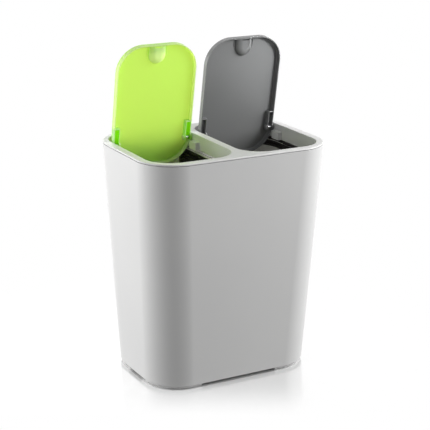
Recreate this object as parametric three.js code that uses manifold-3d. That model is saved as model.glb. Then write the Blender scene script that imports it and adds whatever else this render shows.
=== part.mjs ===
// Double recycling bin: a tapered outer body, a lift-off top frame with two hopper mouths,
// two swing lids on short hinge pins, and two inner buckets with bail handles.
// Millimetres, +Z up, front of the bin towards -Y. Origin: centre of the base, on the floor.
import * as THREE from 'three';
import { mergeVertices } from 'three/addons/utils/BufferGeometryUtils.js';
import Module from 'manifold-3d';

const wasm = await Module();
wasm.setup();

// ---- overall
const BODY_WIDTH = 385;            // outside, at the top
const BODY_DEPTH = 274;
const BODY_CORNER = 73;            // plan radius of the four upright corners, at the top
const BASE_WIDTH = 338;            // outside, at the foot of the taper
const BASE_DEPTH = 230;
const BASE_CORNER = 70;
const OVERALL_HEIGHT = 445;        // floor to the top of the frame, lids apart
const BODY_WALL = 2.5;
const FLOOR_THICKNESS = 2.5;
const FLOOR_FILLET = 8;            // inside, where the wall meets the floor
const BODY_EDGE = 0.8;             // rounding of the body's top edge
const SEAT_GAP = 0.4;              // between pieces that rest on each other

// ---- feet
const FOOT_HEIGHT = 6.5;
const FOOT_STEP = 1.2;             // how far the foot band is set in below the wall
const FOOT_CHAMFER = 5;            // further inset of the foot at the floor
const FOOT_BAND = 16;              // width of the foot band, along the corner
const FRONT_NOTCH = 162;           // gap between the feet, front and back
const SIDE_NOTCH = 56;             // gap between the feet, left and right
const CENTRE_RIB_LENGTH = 160;     // low rib on the floor between the buckets
const CENTRE_RIB_HEIGHT = 22;
const CENTRE_RIB_THICKNESS = 2;

// ---- top frame
const FLANGE_THICKNESS = 3;
const FLANGE_EDGE = 2;             // rounding of its outer top edge
const DIVIDER_WIDTH = 16;          // between the two mouths
const SIDE_RIM = 15.5;
const FRONT_RIM = 17;
const REAR_RIM = 12;
const MOUTH_CORNER = 50;
const MOUTH_EDGE = 0.8;            // softened upper edge of each mouth
const HOPPER_DEPTH = 29;           // from the frame's top to the foot of the hopper wall
const HOPPER_WALL = 2.5;
const LIP_INSET = 3.8;             // locating lip, in from the outside of the body
const LIP_WALL = 2;
const LIP_DEPTH = 12;
const WEB_THICKNESS = 1.8;         // small webs between hopper wall and lip
const WEB_SPACING = 62;

// ---- lids and hinges
const OPEN_ANGLE = 80.4;           // degrees, from closed to where the lids stand open
const LID_SIDE_GAP = 2.8;
const LID_END_GAP = 1.8;
const LID_CORNER_EXTRA = 2;       // lid's corner radius beyond the mouth's
const LID_DEPTH = 12;              // top face to the skirt's edge
const LID_PANEL = 2;
const LID_SKIRT = 2;
const LID_EDGE = 2;
const LID_SINK = 0.5;              // closed lid below the frame's top
const HINGE_FROM_REAR = 50;        // hinge axis to the mouth's rear edge
const HINGE_BELOW_LID = 8;         // hinge axis to the lid's top face
const PIN_RADIUS = 2.5;
const PIN_CLEARANCE = 0.3;
const PIN_HEAD_RADIUS = 3.8;
const PIN_HEAD = 1.4;
const PIN_END_GAP = 0.5;           // end of an inner pin to the middle of the divider
const PIN_CHAMFER = 0.6;
const KNUCKLE_RADIUS = 7.9;
const KNUCKLE_GAP = 1.2;           // to the hopper wall
const EAR_SPACING = 10.6;          // outside of the skirt to the outer face of the ear
const EAR_THICKNESS = 1.8;
const EAR_RADIUS = 7;
const POCKET_LENGTH = 34;          // from the hinge axis to the cross rib
const RIB_THICKNESS = 1.8;
const BEARING_RADIUS = 7;
const BEARING_END = 1;             // material past the end of each outer pin
const STOP_DEPTH = 9;              // stop blocks, out from the hopper wall
const STOP_FRONT = 36;             // from the hinge axis to the block's front face
const STOP_REAR = 11;              // and to its rear face
const STOP_GAP = 0.5;              // under the skirt of the closed lid

// ---- finger scoop in each lid
const SCOOP_WIDTH = 36;
const SCOOP_LENGTH = 39;           // back from the lid's front edge
const SCOOP_DEPTH = 9;             // below the panel's underside
const SCOOP_WALL = 1.6;
const SCOOP_SLOPE = 8;             // how far its sides draw in
const SCOOP_ROUND = 0.499;         // radius of its rear corners, as a share of its width
const SCOOP_LIP = 15;              // strip of panel that the finger hooks under
const SCOOP_FRONT = 3.5;           // front edge of the lid to the hollow under the lip
const SLOT_WIDTH = 21;             // slot in the scoop's floor, under the lip
const SLOT_LENGTH = 7;

// ---- inner buckets
const HANDLE_TOP_GAP = 2.2;        // handle lying on the rim to the foot of the hopper wall
const BUCKET_WALL = 2;
const BUCKET_RIM = 3;              // rim's reach outside the wall
const BUCKET_RIM_THICKNESS = 2.2;
const BUCKET_RIM_DROP = 9;         // turned-down edge of the rim
const BUCKET_RIM_WALL = 1.5;       // thickness of that edge
const BUCKET_MIDDLE_GAP = 1.5;     // rim to the bin's middle plane
const BUCKET_SIDE_GAP = 2.2;       // rim to the body's inside
const BUCKET_END_GAP = 1.4;
const BUCKET_BASE_MIDDLE_GAP = 8;  // the same three gaps, at the bucket's base
const BUCKET_BASE_SIDE_GAP = 5;
const BUCKET_BASE_END_GAP = 6;
const BUCKET_MIDDLE_CORNER = 18;   // plan radius of the corners next to the divider
const BUCKET_FILLET = 6;
const HANDLE_WIDTH = 4.5;          // bail strap, as it lies on the rim
const HANDLE_HEIGHT = 5.4;
const HANDLE_INSET = 2;            // outside of the rim to the outside of the strap
const HANDLE_GRIP = 70;            // length of the thicker grip
const HANDLE_GRIP_EXTRA = 3;
const HANDLE_STUB_RADIUS = 1.9;
const HANDLE_STUB_CLEARANCE = 0.3;
const LUG_WIDTH = 12;
const LUG_THICKNESS = 3;
const LUG_FOOT = 8;                // how far the lug runs down inside the wall

// ---- mesh fineness
const CORNER_STEPS = 10;
const EDGE_STEPS = 3;
const ROUND_STEPS = 20;
const OVERLAP = 1;                 // how far a joined or cutting shape runs past a face
const WELD = 1e-4;                 // points closer than this are one
const QUARTER_TURN = Math.PI / 2;

// ---- derived places
const flangeBottom = OVERALL_HEIGHT - FLANGE_THICKNESS;
const bodyTop = flangeBottom - SEAT_GAP;
const floorTop = FOOT_HEIGHT + FLOOR_THICKNESS;
const hopperBottom = OVERALL_HEIGHT - HOPPER_DEPTH;
const mouthWidth = (BODY_WIDTH - DIVIDER_WIDTH) / 2 - SIDE_RIM;
const mouthDepth = BODY_DEPTH - FRONT_RIM - REAR_RIM;
const mouthX = (DIVIDER_WIDTH + mouthWidth) / 2;
const mouthY = (FRONT_RIM - REAR_RIM) / 2;
const hingeY = mouthY + mouthDepth / 2 - HINGE_FROM_REAR;
const lidTop = OVERALL_HEIGHT - LID_SINK;
const hingeZ = lidTop - HINGE_BELOW_LID;
const lidWidth = mouthWidth - 2 * LID_SIDE_GAP;
const lidLength = mouthDepth - 2 * LID_END_GAP;
const lidRear = HINGE_FROM_REAR - LID_END_GAP;       // from the hinge axis
const lidFront = lidRear - lidLength;
const lidSkirtZ = HINGE_BELOW_LID - LID_DEPTH;       // skirt's edge, from the hinge axis
const earOuter = lidWidth / 2 - EAR_SPACING;
const earInner = earOuter - EAR_THICKNESS;
const pinBore = PIN_RADIUS + PIN_CLEARANCE;
const pinReach = DIVIDER_WIDTH / 2 - PIN_END_GAP;    // into the frame, past the mouth's wall
const stopTop = hingeZ + lidSkirtZ - STOP_GAP;

// ---- shape helpers

// One closed ring of a rounded rectangle, anticlockwise seen from above. The two corners
// towards -X may have a radius of their own.
function ring(width, depth, radius, z, centre = { x: 0, y: 0 }, lowRadius = radius) {
  const points = [];
  for (const [quarter, [signX, signY]] of [[1, 1], [-1, 1], [-1, -1], [1, -1]].entries()) {
    const corner = signX > 0 ? radius : lowRadius;
    for (let step = 0; step <= CORNER_STEPS; step++) {
      const angle = QUARTER_TURN * (quarter + step / CORNER_STEPS);
      points.push(new THREE.Vector3(
        centre.x + signX * (width / 2 - corner) + corner * Math.cos(angle),
        centre.y + signY * (depth / 2 - corner) + corner * Math.sin(angle),
        z,
      ));
    }
  }
  return points;
}

// Closed skin through a stack of rings, lowest first, capped flat at both ends.
function loft(rings) {
  const count = rings[0].length;
  const positions = rings.flat().flatMap((point) => point.toArray());
  const index = [];
  for (let level = 0; level < rings.length - 1; level++) {
    for (let step = 0; step < count; step++) {
      const next = (step + 1) % count;
      const lower = level * count;
      const upper = lower + count;
      index.push(lower + step, lower + next, upper + next, lower + step, upper + next, upper + step);
    }
  }
  for (const [stack, flip] of [[rings[0], true], [rings.at(-1), false]]) {
    const centre = stack.reduce((sum, point) => sum.add(point), new THREE.Vector3());
    const hub = positions.length / 3;
    const first = flip ? 0 : (rings.length - 1) * count;
    positions.push(...centre.divideScalar(count).toArray());
    for (let step = 0; step < count; step++) {
      const next = (step + 1) % count;
      index.push(hub, first + (flip ? next : step), first + (flip ? step : next));
    }
  }
  const geometry = new THREE.BufferGeometry();
  geometry.setAttribute('position', new THREE.Float32BufferAttribute(positions, 3));
  geometry.setIndex(index);
  return geometry;
}

// Insets and heights of a quarter-round edge of the given radius that ends at zEnd.
// up is true at a top edge, false at a bottom one; both lists run upwards.
function roundedEdge(radius, zEnd, up) {
  const stations = [];
  for (let step = 0; step <= EDGE_STEPS; step++) {
    const angle = QUARTER_TURN * (step / EDGE_STEPS);
    const inset = radius * (1 - Math.cos(angle));
    const z = zEnd + (up ? -1 : 1) * radius * (1 - Math.sin(angle));
    stations.push({ inset, z });
  }
  return up ? stations : stations.reverse();
}

function toSolid(geometry) {
  const bare = geometry.clone();
  bare.deleteAttribute('normal');
  bare.deleteAttribute('uv');
  const merged = mergeVertices(bare, WELD);
  return new wasm.Manifold(new wasm.Mesh({
    numProp: 3,
    vertProperties: new Float32Array(merged.attributes.position.array),
    triVerts: new Uint32Array(merged.index.array),
  }));
}

function toGeometry(solid) {
  const mesh = solid.getMesh();
  const geometry = new THREE.BufferGeometry();
  geometry.setAttribute('position', new THREE.BufferAttribute(mesh.vertProperties, 3));
  geometry.setIndex(new THREE.BufferAttribute(mesh.triVerts, 1));
  return geometry;
}

const loftSolid = (rings) => toSolid(loft(rings));

// Box given by its lowest and highest corners.
function boxSolid([x0, y0, z0], [x1, y1, z1]) {
  const box = new THREE.BoxGeometry(x1 - x0, y1 - y0, z1 - z0);
  return toSolid(box.translate((x0 + x1) / 2, (y0 + y1) / 2, (z0 + z1) / 2));
}

// Plate with an outline in the YZ plane, from x0 to x1.
function plateAlongX(shape, x0, x1) {
  const plate = new THREE.ExtrudeGeometry(shape, {
    depth: x1 - x0, bevelEnabled: false, curveSegments: ROUND_STEPS,
  });
  const toYZ = new THREE.Matrix4().makeBasis(
    new THREE.Vector3(0, 1, 0), new THREE.Vector3(0, 0, 1), new THREE.Vector3(1, 0, 0),
  );
  return toSolid(plate.applyMatrix4(toYZ).translate(x0, 0, 0));
}

// Round bar along X, from x0 to x1, about the line (y, z).
function barAlongX(radius, x0, x1, y, z) {
  const bar = new THREE.CylinderGeometry(radius, radius, x1 - x0, ROUND_STEPS);
  return toSolid(bar.rotateZ(QUARTER_TURN).translate((x0 + x1) / 2, y, z));
}

function barAlongY(radius, y0, y1, x, z) {
  const bar = new THREE.CylinderGeometry(radius, radius, y1 - y0, ROUND_STEPS);
  return toSolid(bar.translate(x, (y0 + y1) / 2, z));
}

// Disc about the origin of the YZ plane, carried up to zTop by a straight-sided neck.
function hangingLobe(radius, zTop) {
  const lobe = new THREE.Shape();
  lobe.moveTo(radius, zTop);
  lobe.lineTo(-radius, zTop);
  lobe.lineTo(-radius, 0);
  lobe.absarc(0, 0, radius, Math.PI, 2 * Math.PI, false);
  lobe.closePath();
  return lobe;
}

// ---- the body's outline at any height
function bodyOutline(z) {
  const share = z / bodyTop;
  return {
    width: THREE.MathUtils.lerp(BASE_WIDTH, BODY_WIDTH, share),
    depth: THREE.MathUtils.lerp(BASE_DEPTH, BODY_DEPTH, share),
    corner: THREE.MathUtils.lerp(BASE_CORNER, BODY_CORNER, share),
  };
}

function bodyRing(inset, z, outlineZ = z) {
  const { width, depth, corner } = bodyOutline(outlineZ);
  return ring(width - 2 * inset, depth - 2 * inset, corner - inset, z);
}

function makeBodyShell() {
  const wallRings = [bodyRing(FOOT_STEP + FOOT_CHAMFER, 0), bodyRing(FOOT_STEP, FOOT_HEIGHT)];
  wallRings.push(bodyRing(0, FOOT_HEIGHT));
  for (const { inset, z } of roundedEdge(BODY_EDGE, bodyTop, true)) wallRings.push(bodyRing(inset, z));
  const cavityRings = roundedEdge(FLOOR_FILLET, floorTop, false)
    .map(({ inset, z }) => bodyRing(BODY_WALL + inset, z));
  cavityRings.push(bodyRing(BODY_WALL, bodyTop + OVERLAP));
  const underside = loftSolid([bodyRing(FOOT_BAND, -OVERLAP, 0), bodyRing(FOOT_BAND, FOOT_HEIGHT)]);
  const halfFront = FRONT_NOTCH / 2;
  const halfSide = SIDE_NOTCH / 2;
  const ribHalf = [CENTRE_RIB_THICKNESS / 2, CENTRE_RIB_LENGTH / 2];
  return loftSolid(wallRings)
    .subtract(loftSolid(cavityRings))
    .subtract(underside)
    .subtract(boxSolid([-halfFront, -BODY_DEPTH, -OVERLAP], [halfFront, BODY_DEPTH, FOOT_HEIGHT]))
    .subtract(boxSolid([-BODY_WIDTH, -halfSide, -OVERLAP], [BODY_WIDTH, halfSide, FOOT_HEIGHT]))
    .add(boxSolid(
      [-ribHalf[0], -ribHalf[1], floorTop - OVERLAP],
      [ribHalf[0], ribHalf[1], floorTop + CENTRE_RIB_HEIGHT],
    ));
}

// ---- top frame
function mouthRing(side, outset, z) {
  return ring(mouthWidth + 2 * outset, mouthDepth + 2 * outset, MOUTH_CORNER + outset, z,
    { x: side * mouthX, y: mouthY });
}

function lipRing(inset, z) {
  return ring(BODY_WIDTH - 2 * inset, BODY_DEPTH - 2 * inset, BODY_CORNER - inset, z);
}

// Bearing behind one hopper wall, or right across the divider, hanging from the flange.
function bearing(x0, x1) {
  const lobe = hangingLobe(BEARING_RADIUS, flangeBottom + OVERLAP - hingeZ);
  return plateAlongX(lobe, x0, x1).translate(0, hingeY, hingeZ);
}

function stopBlock(side, wallSide) {
  const wallX = side * mouthX + wallSide * (mouthWidth / 2 + OVERLAP);
  const roomX = side * mouthX + wallSide * (mouthWidth / 2 - STOP_DEPTH);
  return boxSolid(
    [Math.min(wallX, roomX), hingeY - STOP_FRONT, hopperBottom],
    [Math.max(wallX, roomX), hingeY - STOP_REAR, stopTop],
  );
}

function makeTopFrame() {
  const flangeRings = [lipRing(0, flangeBottom)];
  for (const { inset, z } of roundedEdge(FLANGE_EDGE, OVERALL_HEIGHT, true)) {
    flangeRings.push(lipRing(inset, z));
  }
  const lipBottom = flangeBottom - LIP_DEPTH;
  const lipInner = LIP_INSET + LIP_WALL;
  let frame = loftSolid(flangeRings).add(
    loftSolid([lipRing(LIP_INSET, lipBottom), lipRing(LIP_INSET, flangeBottom + OVERLAP)])
      .subtract(loftSolid([lipRing(lipInner, lipBottom - OVERLAP), lipRing(lipInner, flangeBottom)])),
  );
  const lipY = BODY_DEPTH / 2 - LIP_INSET - LIP_WALL / 2;
  for (const side of [-1, 1]) {
    frame = frame.add(loftSolid([
      mouthRing(side, HOPPER_WALL, hopperBottom),
      mouthRing(side, HOPPER_WALL, flangeBottom + OVERLAP),
    ]));
    for (const offset of [-WEB_SPACING / 2, WEB_SPACING / 2]) {
      const webX = side * mouthX + offset;
      frame = frame.add(boxSolid(
        [webX - WEB_THICKNESS / 2, -lipY, lipBottom],
        [webX + WEB_THICKNESS / 2, lipY, flangeBottom + OVERLAP],
      ));
    }
  }
  for (const side of [-1, 1]) {
    frame = frame.subtract(loftSolid([
      mouthRing(side, 0, hopperBottom - OVERLAP),
      mouthRing(side, 0, OVERALL_HEIGHT - MOUTH_EDGE),
      mouthRing(side, MOUTH_EDGE, OVERALL_HEIGHT),
      mouthRing(side, MOUTH_EDGE, OVERALL_HEIGHT + OVERLAP),
    ]));
    for (const wallSide of [-1, 1]) frame = frame.add(stopBlock(side, wallSide));
  }
  const outerWall = mouthX + mouthWidth / 2 + OVERLAP;
  const outerEnd = mouthX + mouthWidth / 2 + pinReach + BEARING_END;
  const dividerHalf = DIVIDER_WIDTH / 2 - OVERLAP;
  frame = frame.add(bearing(-dividerHalf, dividerHalf))
    .add(bearing(outerWall, outerEnd))
    .add(bearing(-outerEnd, -outerWall));
  const boreEnd = outerEnd - BEARING_END + PIN_CLEARANCE;
  return frame
    .subtract(barAlongX(pinBore, -DIVIDER_WIDTH, DIVIDER_WIDTH, hingeY, hingeZ))
    .subtract(barAlongX(pinBore, mouthX, boreEnd, hingeY, hingeZ))
    .subtract(barAlongX(pinBore, -boreEnd, -mouthX, hingeY, hingeZ));
}

// ---- lids, drawn closed about the middle of their hinge axis
function lidRing(inset, z) {
  return ring(lidWidth - 2 * inset, lidLength - 2 * inset, MOUTH_CORNER + LID_CORNER_EXTRA - inset, z,
    { x: 0, y: (lidRear + lidFront) / 2 });
}

function scoopRing(inset, z, front) {
  const rear = lidFront + SCOOP_LENGTH - inset;
  const width = SCOOP_WIDTH - 2 * inset;
  return ring(width, rear - front, width * SCOOP_ROUND, z, { x: 0, y: (rear + front) / 2 });
}

// Dish whose sides draw in more and more towards its floor.
function scoopSolid(shrink, zTop, zBottom, front) {
  const rings = [];
  for (let step = 0; step <= EDGE_STEPS; step++) {
    const share = step / EDGE_STEPS;
    const drawn = SCOOP_SLOPE * (1 - share) ** 2;
    rings.push(scoopRing(drawn + shrink, THREE.MathUtils.lerp(zBottom, zTop, share), front));
  }
  return loftSolid(rings);
}

function makeLid() {
  const panelZ = HINGE_BELOW_LID - LID_PANEL;
  const outerRings = [lidRing(0, lidSkirtZ)];
  for (const { inset, z } of roundedEdge(LID_EDGE, HINGE_BELOW_LID, true)) {
    outerRings.push(lidRing(inset, z));
  }
  const outer = loftSolid(outerRings);
  const inside = loftSolid([lidRing(LID_SKIRT, lidSkirtZ - OVERLAP), lidRing(LID_SKIRT, panelZ)]);
  let lid = outer.subtract(inside);

  // finger scoop: a dish below the panel that runs on under a lip at the front
  const farFront = lidFront - SCOOP_WIDTH;
  const hollowFront = lidFront + SCOOP_FRONT;
  const lipEdge = lidFront + SCOOP_LIP;
  const dishBottom = panelZ - SCOOP_DEPTH;
  const bulge = scoopSolid(0, panelZ + LID_PANEL / 2, dishBottom, farFront).intersect(outer);
  const hollow = scoopSolid(SCOOP_WALL, panelZ, dishBottom + SCOOP_WALL, farFront)
    .intersect(boxSolid([-SCOOP_WIDTH, hollowFront, dishBottom], [SCOOP_WIDTH, 0, LID_DEPTH]));
  const mouth = loftSolid([
    scoopRing(SCOOP_WALL, panelZ - LID_PANEL / 2, farFront),
    scoopRing(SCOOP_WALL, HINGE_BELOW_LID + OVERLAP, farFront),
  ]).intersect(boxSolid([-SCOOP_WIDTH, lipEdge, 0], [SCOOP_WIDTH, 0, LID_DEPTH]));
  const slot = boxSolid(
    [-SLOT_WIDTH / 2, hollowFront, dishBottom - OVERLAP],
    [SLOT_WIDTH / 2, hollowFront + SLOT_LENGTH, dishBottom + SCOOP_WALL + OVERLAP],
  );
  lid = lid.add(bulge).subtract(hollow).subtract(mouth).subtract(slot);

  const skirtInner = lidWidth / 2 - LID_SKIRT;
  const knuckleOuter = mouthWidth / 2 - KNUCKLE_GAP;
  const ear = hangingLobe(EAR_RADIUS, panelZ + LID_PANEL / 2);
  for (const side of [-1, 1]) {
    const span = (a, b) => [Math.min(side * a, side * b), Math.max(side * a, side * b)];
    const [knuckle0, knuckle1] = span(skirtInner, knuckleOuter);
    const [ear0, ear1] = span(earInner, earOuter);
    const [rib0, rib1] = span(earOuter - EAR_THICKNESS / 2, skirtInner + LID_SKIRT / 2);
    lid = lid
      .add(barAlongX(KNUCKLE_RADIUS, knuckle0, knuckle1, 0, 0))
      .add(plateAlongX(ear, ear0, ear1))
      .add(boxSolid([ear0, -POCKET_LENGTH, lidSkirtZ], [ear1, 0, panelZ + LID_PANEL / 2]))
      .add(boxSolid(
        [rib0, -POCKET_LENGTH, lidSkirtZ],
        [rib1, -POCKET_LENGTH + RIB_THICKNESS, panelZ + LID_PANEL / 2],
      ));
  }
  return lid.subtract(barAlongX(pinBore, -mouthWidth, mouthWidth, 0, 0));
}

// Hinge pin along +X from the head inside the ear to its end in the frame.
function makePin() {
  const headStart = earInner - SEAT_GAP - PIN_HEAD;
  const shankEnd = mouthWidth / 2 + pinReach;
  const profile = [
    [0, headStart], [PIN_HEAD_RADIUS - PIN_CHAMFER, headStart],
    [PIN_HEAD_RADIUS, headStart + PIN_CHAMFER], [PIN_HEAD_RADIUS, headStart + PIN_HEAD],
    [PIN_RADIUS, headStart + PIN_HEAD], [PIN_RADIUS, shankEnd - PIN_CHAMFER],
    [PIN_RADIUS - PIN_CHAMFER, shankEnd], [0, shankEnd],
  ].map(([radius, along]) => new THREE.Vector2(radius, along));
  return new THREE.LatheGeometry(profile, ROUND_STEPS).rotateZ(-QUARTER_TURN);
}

// ---- inner buckets, drawn for the right-hand side about the bin's middle plane
const bucketBottom = floorTop + SEAT_GAP;
const bucketTop = hopperBottom - HANDLE_TOP_GAP - HANDLE_HEIGHT - SEAT_GAP;

// Plan of half the body's inside at height z, less a gap on each side.
function halfPlan(z, middleGap, sideGap, endGap) {
  const { width, depth, corner } = bodyOutline(z);
  const outer = width / 2 - BODY_WALL - sideGap;
  return {
    width: outer - middleGap,
    depth: depth - 2 * (BODY_WALL + endGap),
    corner: corner - BODY_WALL - sideGap,
    x: (outer + middleGap) / 2,
  };
}

const rimPlan = halfPlan(bucketTop, BUCKET_MIDDLE_GAP, BUCKET_SIDE_GAP, BUCKET_END_GAP);
const basePlan = halfPlan(bucketBottom,
  BUCKET_BASE_MIDDLE_GAP, BUCKET_BASE_SIDE_GAP, BUCKET_BASE_END_GAP);
const rimX = rimPlan.x;
const lugInner = rimPlan.depth / 2 - HANDLE_INSET - HANDLE_WIDTH - SEAT_GAP - LUG_THICKNESS;
const handleZ = bucketTop + SEAT_GAP + HANDLE_HEIGHT / 2;

function bucketRing(inset, z) {
  const share = (z - bucketBottom) / (bucketTop - bucketBottom);
  const width = THREE.MathUtils.lerp(basePlan.width, rimPlan.width - 2 * BUCKET_RIM, share);
  const depth = THREE.MathUtils.lerp(basePlan.depth, rimPlan.depth - 2 * BUCKET_RIM, share);
  const corner = THREE.MathUtils.lerp(basePlan.corner, rimPlan.corner - BUCKET_RIM, share);
  const x = THREE.MathUtils.lerp(basePlan.x, rimX, share);
  return ring(width - 2 * inset, depth - 2 * inset, corner - inset, z, { x, y: 0 },
    BUCKET_MIDDLE_CORNER - inset);
}

function rimRing(inset, z) {
  return ring(rimPlan.width - 2 * inset, rimPlan.depth - 2 * inset, rimPlan.corner - inset, z,
    { x: rimX, y: 0 }, BUCKET_MIDDLE_CORNER + BUCKET_RIM - inset);
}

function makeBucket() {
  const outerRings = roundedEdge(BUCKET_FILLET, bucketBottom, false)
    .map(({ inset, z }) => bucketRing(inset, z));
  outerRings.push(bucketRing(0, bucketTop));
  const innerBottom = bucketBottom + BUCKET_WALL;
  const innerRings = roundedEdge(BUCKET_FILLET - BUCKET_WALL, innerBottom, false)
    .map(({ inset, z }) => bucketRing(BUCKET_WALL + inset, z));
  innerRings.push(bucketRing(BUCKET_WALL, bucketTop + OVERLAP));
  const rimBottom = bucketTop - BUCKET_RIM_DROP;
  const rimHollow = loftSolid([
    rimRing(BUCKET_RIM_WALL, rimBottom - OVERLAP),
    rimRing(BUCKET_RIM_WALL, bucketTop - BUCKET_RIM_THICKNESS),
  ]);
  const rim = loftSolid([rimRing(0, rimBottom), rimRing(0, bucketTop)]).subtract(rimHollow);
  const lugTop = handleZ + HANDLE_HEIGHT / 2;
  const cavity = loftSolid(innerRings);
  let bucket = loftSolid(outerRings).add(rim).subtract(cavity);
  for (const end of [-1, 1]) {
    const faces = [end * lugInner, end * (lugInner + LUG_THICKNESS)];
    const low = Math.min(...faces);
    const high = Math.max(...faces);
    const root = end * (rimPlan.depth / 2 - BUCKET_RIM);
    const lug = boxSolid([rimX - LUG_WIDTH / 2, low, bucketTop - LUG_FOOT],
      [rimX + LUG_WIDTH / 2, high, lugTop]);
    const foot = boxSolid(
      [rimX - LUG_WIDTH / 2, Math.min(root, end * lugInner), bucketTop - LUG_FOOT],
      [rimX + LUG_WIDTH / 2, Math.max(root, end * lugInner), bucketTop],
    );
    const bore = barAlongY(HANDLE_STUB_RADIUS + HANDLE_STUB_CLEARANCE,
      low - OVERLAP, high + OVERLAP, rimX, handleZ);
    bucket = bucket.add(lug).add(foot).subtract(bore);
  }
  return bucket;
}

// Bail lying on the rim, turning about the line between its two stubs.
function makeHandle() {
  const outerHalf = rimPlan.depth / 2 - HANDLE_INSET;
  const outerReach = rimPlan.width / 2 - HANDLE_INSET;
  const corner = rimPlan.corner - HANDLE_INSET;
  const bail = new THREE.Shape();
  bail.moveTo(0, -outerHalf);
  bail.absarc(outerReach - corner, corner - outerHalf, corner, -QUARTER_TURN, 0, false);
  bail.absarc(outerReach - corner, outerHalf - corner, corner, 0, QUARTER_TURN, false);
  bail.lineTo(0, outerHalf);
  bail.lineTo(0, outerHalf - HANDLE_WIDTH);
  bail.absarc(outerReach - corner, outerHalf - corner, corner - HANDLE_WIDTH, QUARTER_TURN, 0, true);
  bail.absarc(outerReach - corner, corner - outerHalf, corner - HANDLE_WIDTH, 0, -QUARTER_TURN, true);
  bail.lineTo(0, HANDLE_WIDTH - outerHalf);
  bail.closePath();
  const strap = new THREE.ExtrudeGeometry(bail, {
    depth: HANDLE_HEIGHT, bevelEnabled: false, curveSegments: CORNER_STEPS,
  });
  const gripOuter = rimX + outerReach;
  let handle = toSolid(strap.translate(rimX, 0, handleZ - HANDLE_HEIGHT / 2)).add(boxSolid(
    [gripOuter - HANDLE_WIDTH - HANDLE_GRIP_EXTRA, -HANDLE_GRIP / 2, handleZ - HANDLE_HEIGHT / 2],
    [gripOuter - HANDLE_WIDTH / 2, HANDLE_GRIP / 2, handleZ + HANDLE_HEIGHT / 2],
  ));
  for (const end of [-1, 1]) {
    const eye = [end * (outerHalf - HANDLE_WIDTH), end * outerHalf];
    const stub = [end * (lugInner - SEAT_GAP), end * (outerHalf - HANDLE_WIDTH / 2)];
    handle = handle
      .add(barAlongY(HANDLE_HEIGHT / 2, Math.min(...eye), Math.max(...eye), rimX, handleZ))
      .add(barAlongY(HANDLE_STUB_RADIUS, Math.min(...stub), Math.max(...stub), rimX, handleZ));
  }
  return handle;
}

// ---- finishes
const finishes = {
  body: { color: 0xdfdfdd, roughness: 0.5, metalness: 0 },
  frame: { color: 0xe4e4e2, roughness: 0.45, metalness: 0 },
  greenLid: { color: 0xa9e24b, roughness: 0.3, metalness: 0 },
  greyLid: { color: 0x77797a, roughness: 0.28, metalness: 0 },
  pin: { color: 0xb9bbbd, roughness: 0.3, metalness: 0.9 },
  bucket: { color: 0xaeada9, roughness: 0.45, metalness: 0 },
  handle: { color: 0x242221, roughness: 0.45, metalness: 0 },
};

function namedMesh(name, geometry, finish) {
  const mesh = new THREE.Mesh(geometry, new THREE.MeshStandardMaterial(finish));
  mesh.name = name;
  return mesh;
}

// The same solid, mirrored in the bin's middle plane.
const mirrored = (solid) => solid.mirror([1, 0, 0]);

// ---- assembly
const bin = new THREE.Group();
bin.add(namedMesh('body_shell', toGeometry(makeBodyShell()), finishes.body));
bin.add(namedMesh('top_frame', toGeometry(makeTopFrame()), finishes.frame));

const lidGeometry = toGeometry(makeLid());
const pinGeometry = makePin();
const bucket = makeBucket();
const handle = makeHandle();
const sides = [
  { name: 'left', sign: -1, lidFinish: finishes.greenLid },
  { name: 'right', sign: 1, lidFinish: finishes.greyLid },
];
for (const { name, sign, lidFinish } of sides) {
  const hinge = new THREE.Group();
  hinge.position.set(sign * mouthX, hingeY, hingeZ);
  const lid = namedMesh(`${name}_lid`, lidGeometry, lidFinish);
  lid.rotation.x = -THREE.MathUtils.degToRad(OPEN_ANGLE);
  const outerPin = namedMesh(`${name}_lid_outer_pin`, pinGeometry, finishes.pin);
  outerPin.rotation.y = sign > 0 ? 0 : Math.PI;
  const innerPin = namedMesh(`${name}_lid_inner_pin`, pinGeometry, finishes.pin);
  innerPin.rotation.y = sign > 0 ? Math.PI : 0;
  hinge.add(lid, outerPin, innerPin);
  bin.add(hinge);
  const bucketSolid = sign > 0 ? bucket : mirrored(bucket);
  const handleSolid = sign > 0 ? handle : mirrored(handle);
  bin.add(namedMesh(`${name}_bucket`, toGeometry(bucketSolid), finishes.bucket));
  bin.add(namedMesh(`${name}_bucket_handle`, toGeometry(handleSolid), finishes.handle));
}

export default bin;
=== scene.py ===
"""Looks for the double recycling bin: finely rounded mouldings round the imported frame."""

import math

import bpy
from mathutils import Matrix, Vector


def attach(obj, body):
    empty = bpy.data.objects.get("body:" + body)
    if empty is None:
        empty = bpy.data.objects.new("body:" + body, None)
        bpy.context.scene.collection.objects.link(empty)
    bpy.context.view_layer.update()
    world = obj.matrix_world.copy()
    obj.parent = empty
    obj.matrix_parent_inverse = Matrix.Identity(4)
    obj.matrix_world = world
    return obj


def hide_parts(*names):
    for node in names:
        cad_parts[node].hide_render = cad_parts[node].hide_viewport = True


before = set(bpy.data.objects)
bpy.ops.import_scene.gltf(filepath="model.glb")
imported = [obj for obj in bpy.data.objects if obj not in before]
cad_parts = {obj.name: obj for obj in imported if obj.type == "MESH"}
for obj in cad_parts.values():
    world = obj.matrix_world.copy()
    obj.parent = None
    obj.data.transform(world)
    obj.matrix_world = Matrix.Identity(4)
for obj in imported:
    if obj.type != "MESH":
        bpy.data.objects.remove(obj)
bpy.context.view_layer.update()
scene = bpy.context.scene

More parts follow.
